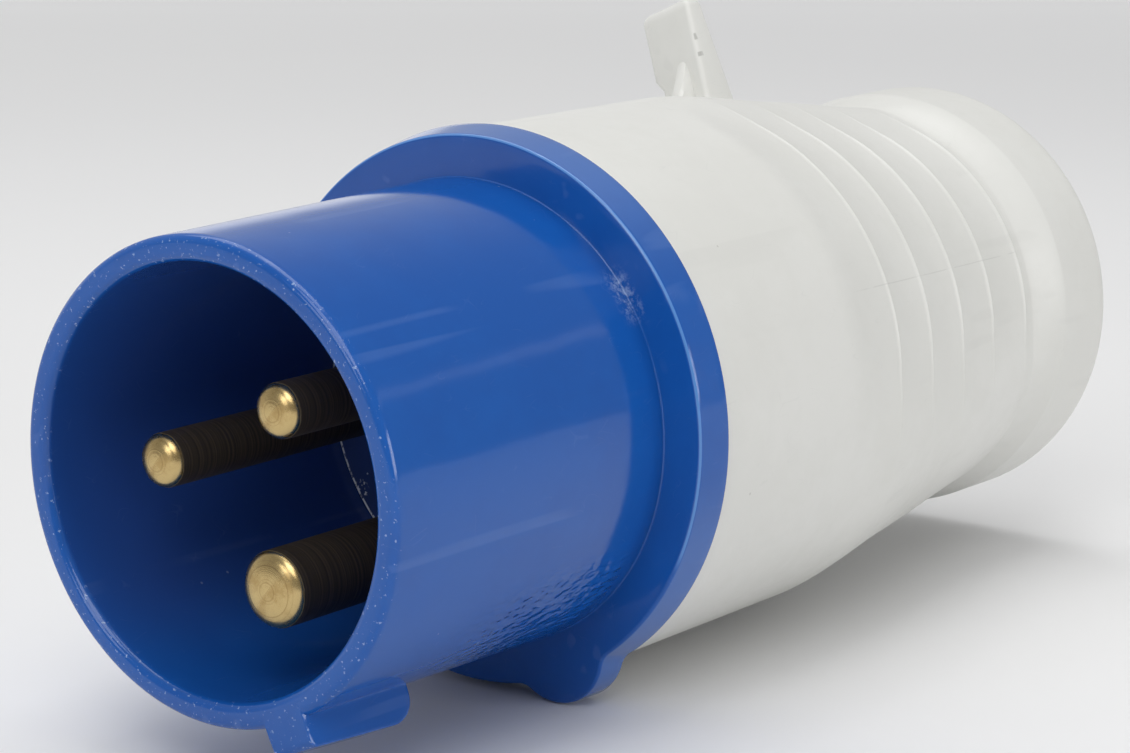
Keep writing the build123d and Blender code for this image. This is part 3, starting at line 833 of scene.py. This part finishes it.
def new_material(name, **plain):
    """A material with its Principled shader, whose even values are set on its own sockets."""
    material = bpy.data.materials.new(name)
    material.use_nodes = True
    tree = material.node_tree
    shader = tree.nodes["Principled BSDF"]
    for key, value in plain.items():
        shader.inputs[key.replace("_", " ")].default_value = value
    return material, tree, shader.inputs


def relief(tree, *layers):
    """One bump from layers of relief, each as (height, depth in millimetres)."""
    total = None
    for height, depth in layers:
        if total is None:
            total = calc(tree, "MULTIPLY", height, depth)
        else:
            total = calc(tree, "MULTIPLY_ADD", height, depth, total)
    return put(tree, "ShaderNodeBump", {"Height": total, "Strength": 1.0, "Distance": MM}).outputs[0]


def rgb(red, green, blue):
    """A colour as a screen shows it, from 0 to 255, in the shader's linear values."""
    return tuple(((c / 255 + 0.055) / 1.055) ** 2.4 for c in (red, green, blue)) + (1,)


# ---- Materials ----
def painted_side_sheen(tree, x, up, reach):
    """Painted sheen on the flange's side: a little all round, more at the top and low down."""
    side = ramp(tree, reach, FLANGE_FRONT_RADIUS - 0.3, FLANGE_FRONT_RADIUS - 0.1)
    amount = calc(tree, "ADD", ramp(tree, up, 2, 20, 0.02, 0.17), ramp(tree, up, -12, -20, 0, 0.08))
    return product(tree, side, ramp(tree, x, FLANGE_FRONT + 0.2, FLANGE_FRONT + 0.4), amount)


def painted_edge_highlight(tree, x, up, reach):
    """Painted highlight: a pale line on the rounding of the flange's front edge, away from the nose."""
    corner = FLANGE_FRONT_RADIUS - FLANGE_FRONT
    line = ramp(tree, calc(tree, "SUBTRACT", reach, x), corner - 0.22, corner - 0.17)
    ahead = ramp(tree, x, FLANGE_FRONT - 0.1, FLANGE_FRONT - 0.05)
    behind = ramp(tree, x, FLANGE_FRONT + 0.3, FLANGE_FRONT + 0.2)
    return product(tree, line, ahead, behind, ramp(tree, up, -21, -19), 0.55)


def scuff_and_glints_at_foot(tree, x, side, up, reach):
    """A scuffed patch in the corner between shroud and flange, whose paleness also paints the glints on
    it.
    """
    height = ramp(tree, apart(tree, up, FOOT_SCUFF_AND_GLINTS_LEVEL), 3.4, 1.0)
    along = ramp(tree, x, FLANGE_FRONT - 2.3, FLANGE_FRONT - 0.5)
    outward = ramp(tree, reach, FOOT_RADIUS + 1.6, FOOT_RADIUS + 0.5)
    broken = ramp(tree, noise(tree, millimetres(tree), 1.5, 3, 0.7), 0.42, 0.68)
    return product(tree, height, along, outward, ramp(tree, side, 0, -1), broken, 0.42)


def blue_plastic():
    """Blue moulded plastic of the shell: glossy, rippled low down by its foot. Its colour holds painted
    light: glints on its worn rim, haze in the bore, sheen on the flange's side, a highlight on its front
    edge, and glints on a scuff at the foot.
    """
    material, tree, shader = new_material("blue_housing_plastic", IOR=1.5)
    skin = use(
        tree, MOULDED_SKIN, Colour=rgb(22, 86, 168), Second_colour=rgb(20, 78, 158),
        Unevenness=0.6, Grain_per_mm=3.5,
    )
    marks = use(tree, HANDLING_MARKS, Scratches=0.15, Specks=0.4, Speck_spacing_mm=3.8)
    lines = use(tree, FLOW_LINES, Lines_per_mm=0.45)
    x, side, up = plug_parts(tree)
    reach = off_axis(tree, side, up)
    where = millimetres(tree)
    # painted haze: a greyer, paler blue in the bore paints the dim light inside the cup, less of it low
    # down
    bore = ramp(tree, reach, MOUTH_RADIUS + 0.15, MOUTH_RADIUS - 0.1)
    bore = product(tree, bore, ramp(tree, up, -17, -5, 0.1, 1.0))
    bore_haze_painted = blended(tree, bore, skin["Colour"], rgb(44, 78, 152))
    # painted sheen on the flange's side
    side_sheen_painted = blended(tree, painted_side_sheen(tree, x, up, reach), bore_haze_painted, rgb(176, 194, 216))
    # painted highlight along the flange's front edge
    edge_highlight_painted = blended(tree, painted_edge_highlight(tree, x, up, reach), side_sheen_painted, rgb(112, 164, 224))
    # scuffed patch at the foot, its paleness partly painted glints
    scuffed = blended(tree, scuff_and_glints_at_foot(tree, x, side, up, reach), edge_highlight_painted, rgb(176, 196, 226))
    lit = blended(tree, product(tree, lines["Lines"], 0.12), scuffed, rgb(120, 150, 205))
    worn = blended(tree, product(tree, marks["Scratches"], 0.5), lit, rgb(112, 142, 196))
    # painted glints: pale broken specks on the worn rim near the mouth
    broken_glints = ramp(tree, noise(tree, where, 2.2, 2, 0.7), 0.62, 0.72)
    rim_glints_painted = blended(tree, product(tree, ramp(tree, x, 1.1, 0.3), broken_glints, 0.6), worn, rgb(168, 190, 224))
    tree.links.new(blended(tree, marks["Specks"], rim_glints_painted, rgb(150, 170, 205)), shader["Base Color"])
    rough = calc(tree, "MULTIPLY_ADD", skin["Gloss change"], 0.08, 0.12)
    tree.links.new(calc(tree, "MULTIPLY_ADD", marks["Specks"], 0.3, rough), shader["Roughness"])
    drawn = noise(tree, millimetres(tree, (0.6, 1, 1)), 1.1, 1, 0.5)
    ripples = product(tree, drawn, ramp(tree, up, -16, -19), ramp(tree, x, 10, 24), ramp(tree, x, 36, 34))
    bump = relief(tree, (skin["Waves"], 0.03), (skin["Grain"], 0.003), (ripples, 0.38))
    tree.links.new(bump, shader["Normal"])
    return material


def carrier_plastic():
    """Darker blue plastic of the contact carrier, with a painted highlight as a pale broken line along
    its front edge, and a patch of painted glints.
    """
    material, tree, shader = new_material("blue_carrier_plastic", IOR=1.5)
    skin = use(
        tree, MOULDED_SKIN, Colour=rgb(44, 66, 124), Second_colour=rgb(36, 56, 108),
        Unevenness=0.6, Grain_per_mm=3.5,
    )
    marks = use(tree, HANDLING_MARKS, Scratches=0.4, Specks=1.0, Speck_spacing_mm=2.4)
    x, side, up = plug_parts(tree)
    reach = off_axis(tree, side, up)
    where = millimetres(tree)
    # painted highlight: a pale broken line where the carrier's front meets its bevel
    edge = ramp(tree, reach, CARRIER_EDGE - 0.25, CARRIER_EDGE - 0.18)
    broken_glints = ramp(tree, noise(tree, where, 1.7, 3, 0.7), 0.4, 0.5)
    edge = product(tree, edge, ramp(tree, x, CUP_FLOOR + 0.5, CUP_FLOOR + 0.3), broken_glints)
    # painted glints: a cluster of pale chips on the carrier's front
    glints_side, glints_up = CARRIER_GLINTS
    from_glints = off_axis(tree, apart(tree, side, glints_side), apart(tree, up, glints_up))
    glint_chips = ramp(tree, noise(tree, where, 3.0, 2, 0.5), 0.56, 0.6)
    painted_highlights = calc(tree, "MAXIMUM", edge, product(tree, ramp(tree, from_glints, 1.3, 0.7), glint_chips))
    pale = blended(tree, painted_highlights, skin["Colour"], rgb(226, 230, 238))
    scuffed = blended(tree, calc(tree, "MULTIPLY", marks["Scratches"], 0.4), pale, rgb(120, 132, 170))
    tree.links.new(blended(tree, marks["Specks"], scuffed, rgb(190, 200, 220)), shader["Base Color"])
    tree.links.new(calc(tree, "MULTIPLY_ADD", skin["Gloss change"], 0.2, 0.34), shader["Roughness"])
    layers = [(skin["Waves"], 0.03), (skin["Grain"], 0.006), (marks["Specks"], 0.05)]
    tree.links.new(relief(tree, *layers), shader["Normal"])
    return material


def parting_line(tree, x, side, up):
    """The fine mould line along the handle's sides, broken here and there."""
    below = calc(tree, "MULTIPLY_ADD", calc(tree, "ABSOLUTE", side), PARTING_SLOPE, up)
    near = ramp(tree, calc(tree, "ABSOLUTE", below), 0.09, 0.03)
    broken = ramp(tree, noise(tree, millimetres(tree), 0.35, 1, 0.6), 0.3, 0.5)
    starts = ramp(tree, x, PARTING_START, PARTING_START + 8)
    return product(tree, near, broken, starts, ramp(tree, x, WAIST, WAIST - 3), 0.2)


def lug_marks(tree, x, side, up):
    """Small dark marks on the lug's front corner, each at its own height."""
    marks = []
    for level, half in LUG_MARKS:
        marks.append(ramp(tree, apart(tree, up, level), half, 0.6 * half))
    either = calc(tree, "MAXIMUM", *marks)
    at_corner = ramp(tree, apart(tree, side, 0.1 - LUG_HALF_WIDTH), 0.16, 0.06)
    return product(tree, either, at_corner, ramp(tree, x, 88.6, 88.4), 0.45)


def grey_plastic():
    """Pale grey moulded plastic: satin, finely grained, a little greyer in patches."""
    material, tree, shader = new_material("light_grey_plastic", IOR=1.5)
    skin = use(
        tree, MOULDED_SKIN, Colour=rgb(221, 221, 217), Second_colour=rgb(214, 214, 209),
        Unevenness=0.5, Grain_per_mm=2.6,
    )
    marks = use(tree, HANDLING_MARKS, Scratches=0.5, Specks=0.7, Speck_spacing_mm=6.0)
    lines = use(tree, FLOW_LINES, Lines_per_mm=0.35)
    streaked = blended(tree, product(tree, lines["Lines"], 0.14), skin["Colour"], rgb(196, 196, 192))
    scuffed = blended(tree, product(tree, marks["Scratches"], 0.22), streaked, rgb(180, 181, 180))
    dusty = blended(tree, product(tree, marks["Specks"], 0.55), scuffed, rgb(150, 148, 142))
    x, side, up = plug_parts(tree)
    parted = blended(tree, parting_line(tree, x, side, up), dusty, rgb(150, 149, 144))
    marked = blended(tree, lug_marks(tree, x, side, up), parted, rgb(112, 111, 106))
    tree.links.new(marked, shader["Base Color"])
    tree.links.new(calc(tree, "MULTIPLY_ADD", skin["Gloss change"], 0.2, 0.4), shader["Roughness"])
    tree.links.new(relief(tree, (skin["Waves"], 0.04), (skin["Grain"], 0.006)), shader["Normal"])
    return material


def inner_plastic(name, colour, second):
    """Matt moulded plastic of the inner pieces."""
    material, tree, shader = new_material(name, IOR=1.5)
    skin = use(tree, MOULDED_SKIN, Colour=colour, Second_colour=second, Unevenness=0.8, Grain_per_mm=4.0)
    marks = use(tree, HANDLING_MARKS, Scratches=0.4, Specks=0.4, Speck_spacing_mm=4.0)
    scratched = product(tree, marks["Scratches"], 0.3)
    scuffed = blended(tree, scratched, skin["Colour"], rgb(150, 150, 150))
    tree.links.new(scuffed, shader["Base Color"])
    tree.links.new(calc(tree, "MULTIPLY_ADD", skin["Gloss change"], 0.2, 0.5), shader["Roughness"])
    tree.links.new(relief(tree, (skin["Waves"], 0.03), (skin["Grain"], 0.01)), shader["Normal"])
    return material


def rubber(name, colour, dusty_colour):
    """Black moulded rubber with a pale bloom of dust."""
    material, tree, shader = new_material(name, IOR=1.5, Specular_IOR_Level=0.35)
    skin = use(
        tree, MOULDED_SKIN, Colour=colour, Second_colour=dusty_colour,
        Unevenness=0.9, Grain_per_mm=5.0,
    )
    marks = use(tree, HANDLING_MARKS, Scratches=0.2, Specks=1.0, Speck_spacing_mm=2.5)
    dusty = blended(tree, product(tree, marks["Specks"], 0.6), skin["Colour"], rgb(110, 106, 100))
    tree.links.new(dusty, shader["Base Color"])
    tree.links.new(calc(tree, "MULTIPLY_ADD", skin["Gloss change"], 0.25, 0.62), shader["Roughness"])
    tree.links.new(relief(tree, (skin["Waves"], 0.04), (skin["Grain"], 0.02)), shader["Normal"])
    return material


def turned_brass():
    """Brass pin: bright and finely ringed where the tip is domed. Along its shank a dark brown with
    little metal paints the dark cup that the brass reflects.
    """
    material, tree, shader = new_material("turned_brass", IOR=1.5)
    turning = use(tree, TURNING_MARKS, Rings_per_mm=4.5)
    own = put(tree, "ShaderNodeTexCoord").outputs["Object"]
    along = put(tree, "ShaderNodeSeparateXYZ", {0: own}).outputs[0]
    edge = calc(tree, "MULTIPLY_ADD", calc(tree, "SUBTRACT", turning["Smears"], 0.5), 0.3 * MM, along)
    shank = ramp(tree, edge, 1.0 * MM, 1.2 * MM)
    clean = blended(tree, ramp(tree, turning["Smears"], 0.4, 0.75), rgb(202, 178, 126), rgb(176, 148, 98))
    bright = blended(tree, calc(tree, "MULTIPLY", ramp(
        tree, turning["Rings"], 0.5, 0.72), 0.45), clean, rgb(136, 106, 66))
    # painted reflection: the shank's dark brown, nearly not metal, paints the dark cup reflected in the
    # brass
    dark_shank_reflection = blended(tree, ramp(tree, turning["Rings"], 0.35, 0.7), rgb(44, 39, 34), rgb(76, 65, 52))
    tree.links.new(blended(tree, shank, bright, dark_shank_reflection), shader["Base Color"])
    tree.links.new(ramp(tree, shank, 0, 1, 1, 0.2), shader["Metallic"])
    rough = calc(tree, "MULTIPLY_ADD", turning["Smears"], 0.2, 0.16)
    tree.links.new(calc(tree, "MULTIPLY_ADD", shank, 0.3, rough), shader["Roughness"])
    tree.links.new(relief(tree, (turning["Rings"], 0.014), (turning["Smears"], 0.01)), shader["Normal"])
    return material


def plated_steel():
    """Zinc plated steel of screws and nuts."""
    material, tree, shader = new_material("plated_steel", Metallic=1.0)
    skin = use(
        tree, MOULDED_SKIN, Colour=rgb(196, 198, 200), Second_colour=rgb(160, 158, 150),
        Unevenness=0.9, Grain_per_mm=6.0,
    )
    tree.links.new(skin["Colour"], shader["Base Color"])
    tree.links.new(calc(tree, "MULTIPLY_ADD", skin["Gloss change"], 0.3, 0.36), shader["Roughness"])
    tree.links.new(relief(tree, (skin["Grain"], 0.006)), shader["Normal"])
    return material


def floor_paint():
    """Pale matt floor. Away from the plug it is paler for the camera and for reflections."""
    white = (1, 1, 1, 1)
    material, tree, shader = new_material("floor_paint", Roughness=0.9, IOR=1.3, Emission_Color=white)
    where = put(tree, "ShaderNodeTexCoord").outputs["Object"]
    paint = blended(tree, noise(tree, where, 3.0, 3), rgb(236, 236, 236), rgb(230, 230, 231))
    tree.links.new(paint, shader["Base Color"])
    distance = put(tree, "ShaderNodeVectorMath", {0: where}, operation="LENGTH").outputs["Value"]
    path = put(tree, "ShaderNodeLightPath").outputs
    seen = calc(tree, "MAXIMUM", path["Is Camera Ray"], path["Is Glossy Ray"])
    seen = calc(tree, "MAXIMUM", seen, path["Is Transmission Ray"])
    glow = calc(tree, "MULTIPLY", seen, ramp(tree, distance, 0.45, 1.4, 0.0, 0.45))
    tree.links.new(glow, shader["Emission Strength"])
    return material


# ---- The plug's pieces ----
def give(piece, material):
    piece.data.materials.clear()
    piece.data.materials.append(material)


def add_piece(piece, material, slot, *nodes):
    """Fixes a piece to the plug, in place of CAD nodes."""
    give(piece, material)
    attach(piece, "root")
    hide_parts(*nodes)


shell_blue = blue_plastic()
carrier_blue = carrier_plastic()
brass = turned_brass()

add_piece(build_front_shell(), shell_blue, "blue_housing", "front_shell")
body = join_pieces("handle_body", build_handle(), build_lug(), build_web())
add_piece(body, grey_plastic(), "light_grey_handle", "handle")
for name in ("pin_line", "pin_neutral", "pin_earth"):
    add_piece(build_pin("turned_" + name, name, name), brass, "pin_brass", name)
bush_black = rubber("bush_rubber", rgb(38, 38, 39), rgb(58, 57, 55))
add_piece(build_bush(), bush_black, "bush_rubber", "cable_bush")

# the inner pieces keep their shapes and get finishes of their own
seal_black = rubber("seal_rubber", rgb(30, 30, 31), rgb(46, 46, 45))
cover_grey = inner_plastic("carrier_cover_plastic", rgb(118, 119, 121), rgb(100, 101, 104))
clamp_grey = inner_plastic("clamp_plastic", rgb(146, 147, 149), rgb(126, 127, 130))
steel = plated_steel()
INNER_FINISHES = {
    carrier_blue: ["contact_carrier"],
    seal_black: ["carrier_gasket", "pole_pin_rings", "earth_pin_ring", "housing_seal"],
    cover_grey: ["carrier_lock_ring", "carrier_cover"],
    clamp_grey: ["clamp_base", "clamp_bridge", "bush_washer"],
    steel: [
        "cover_screw", "pole_terminal_screws", "earth_terminal_screw", "pole_pressure_plates",
        "earth_pressure_plate", "clamp_screws", "clamp_nuts",
    ],
}
for finish, names in INNER_FINISHES.items():
    for name in names:
        for material_slot in frame["nodes"][name].material_slots:
            material_slot.material = finish

# ---- Floor, lights and camera ----
FLOOR_REACH = 6.0
floor_mesh = bpy.data.meshes.new("floor")
corners = [
    (-FLOOR_REACH, -FLOOR_REACH, FLOOR_HEIGHT), (FLOOR_REACH, -FLOOR_REACH, FLOOR_HEIGHT),
    (FLOOR_REACH, FLOOR_REACH, FLOOR_HEIGHT), (-FLOOR_REACH, FLOOR_REACH, FLOOR_HEIGHT),
]
floor_mesh.from_pydata(corners, [], [(0, 1, 2, 3)])
floor = bpy.data.objects.new("floor", floor_mesh)
bpy.context.scene.collection.objects.link(floor)
give(floor, floor_paint())


MIDDLE = Vector((0.06, 0.0, 0.0))
BEHIND = (0.3, 0.95, 0.0)                  # direction of the pale backdrop


def add_lamp(name, azimuth, elevation, distance, size, power):
    """A soft lamp, given by its direction from the plug in degrees, that faces the plug."""
    lamp = bpy.data.lights.new(name, "AREA")
    lamp.shape = "RECTANGLE"
    lamp.size, lamp.size_y = size
    lamp.energy = power
    stand = bpy.data.objects.new(name, lamp)
    a, e = radians(azimuth), radians(elevation)
    outward = Vector((cos(a) * cos(e), sin(a) * cos(e), sin(e)))
    stand.location = MIDDLE + outward * distance
    stand.rotation_euler = (-outward).to_track_quat("-Z", "Y").to_euler()
    bpy.context.scene.collection.objects.link(stand)


add_lamp("front_lamp", 205, 45, 0.85, (0.5, 0.5), 2.25)
add_lamp("overhead_lamp", 0, 90, 0.85, (0.5, 0.5), 1.95)
add_lamp("side_lamp", 280, 11, 0.85, (0.5, 0.25), 1.75)
add_lamp("back_lamp", 68, 60, 0.85, (0.5, 0.5), 1.3)
add_lamp("low_front_lamp", 175, 20, 0.85, (0.3, 0.3), 0.75)
add_lamp("strip_lamp", -37, 26, 1.0, (0.5, 0.05), 0.035)

# a studio that is dim at its horizon, paler above, and palest behind the plug
world = bpy.data.worlds.new("studio")
bpy.context.scene.world = world
world.use_nodes = True
sky = world.node_tree
direction = put(sky, "ShaderNodeTexCoord").outputs["Generated"]
height = put(sky, "ShaderNodeSeparateXYZ", {0: direction}).outputs[2]
values = {0: direction, 1: BEHIND}
behind = put(sky, "ShaderNodeVectorMath", values, operation="DOT_PRODUCT").outputs["Value"]
backdrop = calc(sky, "MULTIPLY", ramp(sky, behind, 0.7, 0.85, 0.0, 0.45), ramp(sky, height, 0.24, 0.1))
pale = calc(sky, "ADD", ramp(sky, behind, 0.1, 0.9, 0.28, 0.52), ramp(sky, height, 0.75, 0.95, 0.0, 0.3))
shade = calc(sky, "ADD", pale, backdrop)
sky.links.new(shade, sky.nodes["Background"].inputs["Strength"])
sky.nodes["Background"].inputs["Color"].default_value = (1, 1, 1, 1)

scene = bpy.context.scene
scene.view_settings.view_transform = "Standard"
lens = bpy.data.cameras.new("camera")
lens.sensor_width = 36
lens.lens = 101.95
lens.clip_start = 0.01
camera = bpy.data.objects.new("camera", lens)
camera.location = (-0.19399, -0.18786, 0.06510)
camera.rotation_euler = (radians(78.282), radians(0.2025), radians(-52.613))
scene.collection.objects.link(camera)
scene.camera = camera
